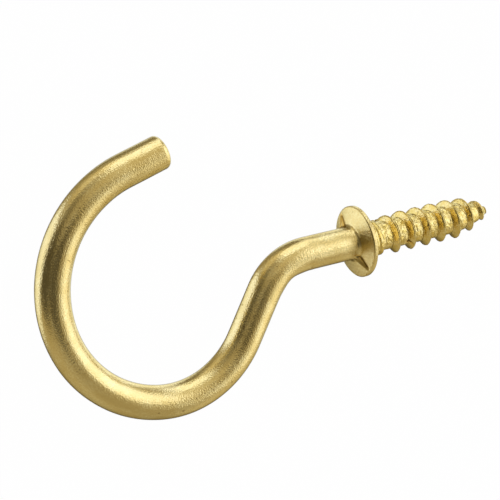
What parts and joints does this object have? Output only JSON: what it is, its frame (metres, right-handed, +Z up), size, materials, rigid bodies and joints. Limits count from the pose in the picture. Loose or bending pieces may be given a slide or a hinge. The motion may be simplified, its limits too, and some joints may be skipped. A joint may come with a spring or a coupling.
{
  "type": "cup hook",
  "caption": "Shouldered cup hook: brass wire bent into an open ring, with a flat collar and a coarse wood-screw thread with a gimlet point.",
  "frame": {"origin": "centre of the collar's seat, the flat face behind the collar that meets the wood", "axes": "+X towards the tip of the screw, whose axis rises 3.3 degrees from it because the hook lies on its side; +Y towards the free end of the ring; +Z up from the surface it lies on"},
  "size_m": [0.0551, 0.0299, 0.0079],
  "materials": {
    "brass": "solid brass, satin from tumbling"
  },
  "bodies": {
    "root": {"cup_hook": "brass"}
  },
  "joints": []
}
